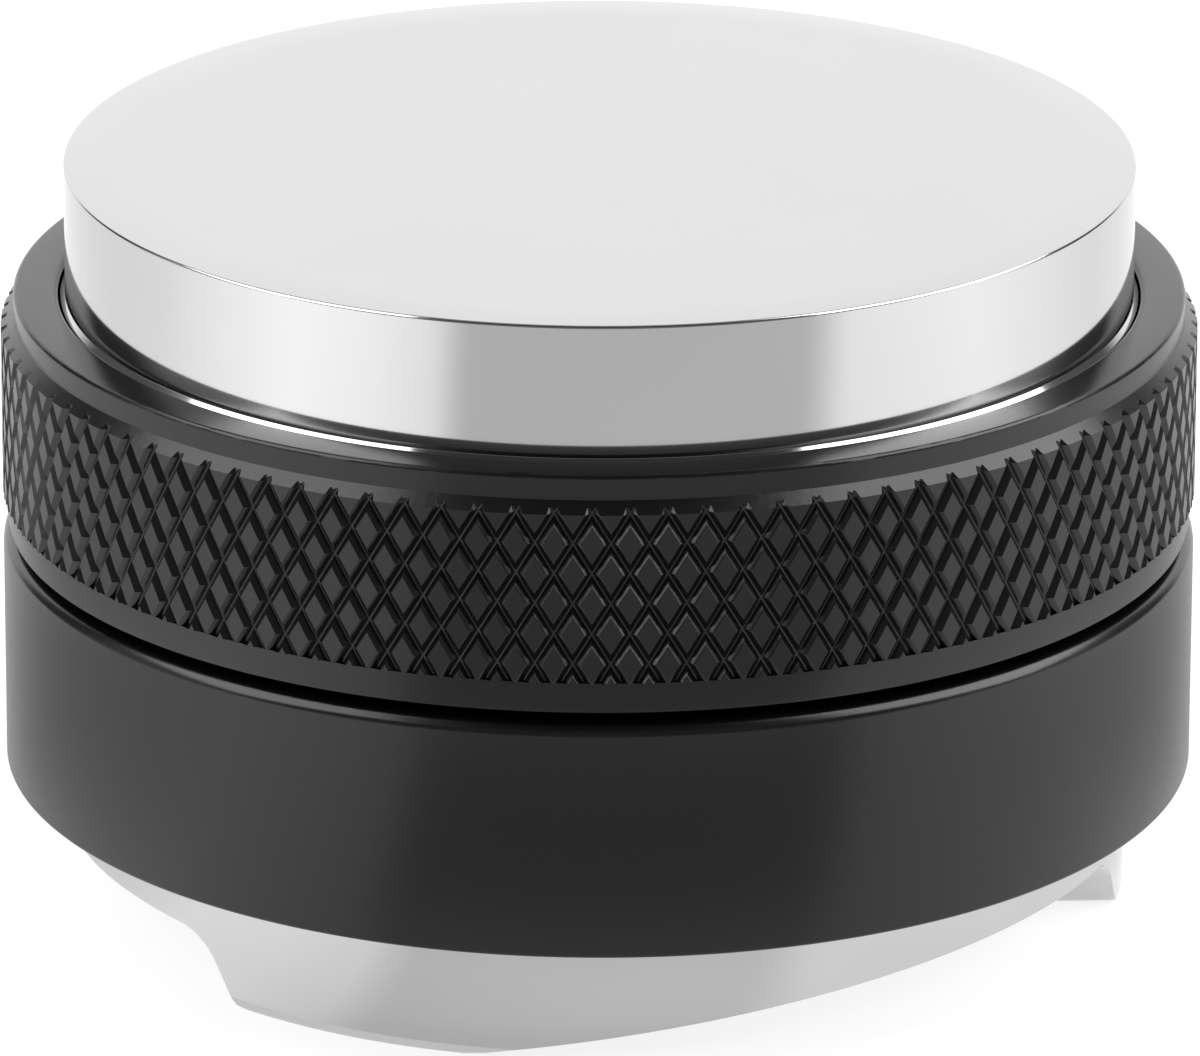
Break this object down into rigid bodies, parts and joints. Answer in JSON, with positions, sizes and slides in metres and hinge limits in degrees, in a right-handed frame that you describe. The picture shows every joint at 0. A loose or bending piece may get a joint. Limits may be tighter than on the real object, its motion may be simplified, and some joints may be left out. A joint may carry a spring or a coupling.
{
  "type": "espresso tamper",
  "caption": "Double-ended espresso tool: flat tamper above, three-blade leveller below, each with a threaded black collar that sets its depth; one collar is knurled.",
  "frame": {"origin": "middle of the flat lands on the leveller's underside, which is the plane that the tool stands on", "axes": "+Z along the tool's axis of revolution, up towards the tamper face; -Y is the side that has a blade's hollow at its middle, and the leveller's three blades repeat every 120 degrees about +Z"},
  "size_m": [0.065, 0.065, 0.041],
  "materials": {
    "polished_steel": "polished stainless steel, softly reflecting",
    "black_anodised": "satin black anodised aluminium",
    "bare_aluminium": "turned, clear anodised",
    "black_steel": "blackened, oiled",
    "zinc_steel": "zinc plated",
    "black_rubber": "nitrile rubber, matt"
  },
  "bodies": {
    "core_assembly": {"threaded_core": "bare_aluminium", "tamper_head": "polished_steel", "leveler_head": "polished_steel", "joining_stud": "black_steel", "dowel_pins": "zinc_steel", "upper_lock_washer": "zinc_steel", "lower_lock_washer": "zinc_steel", "stop_ring": "black_steel"},
    "upper_wiper": {"upper_wiper_ring": "black_rubber"},
    "upper_collar": {"knurled_collar": "black_anodised"},
    "lower_wiper": {"lower_wiper_ring": "black_rubber"},
    "lower_collar": {"smooth_collar": "black_anodised"}
  },
  "joints": [
    {"name": "upper_travel", "type": "slide", "parent": "core_assembly", "child": "upper_wiper", "axis": [0, 0, 1], "range_m": [0, 0.0045]},
    {"name": "upper_turn", "type": "hinge", "parent": "upper_wiper", "child": "upper_collar", "pos_m": [0, 0, 0.0273], "axis": [0, 0, 1], "range_deg": [0, 1080]},
    {"name": "lower_travel", "type": "slide", "parent": "core_assembly", "child": "lower_wiper", "axis": [0, 0, -1], "range_m": [0, 0.0045]},
    {"name": "lower_turn", "type": "hinge", "parent": "lower_wiper", "child": "lower_collar", "pos_m": [0, 0, 0.0137], "axis": [0, 0, -1], "range_deg": [0, 1080]}
  ],
  "couplings": [
    {"joint": "upper_travel", "follows": "upper_turn", "m_per_rad": 0.00023873},
    {"joint": "lower_travel", "follows": "lower_turn", "m_per_rad": 0.00023873}
  ]
}
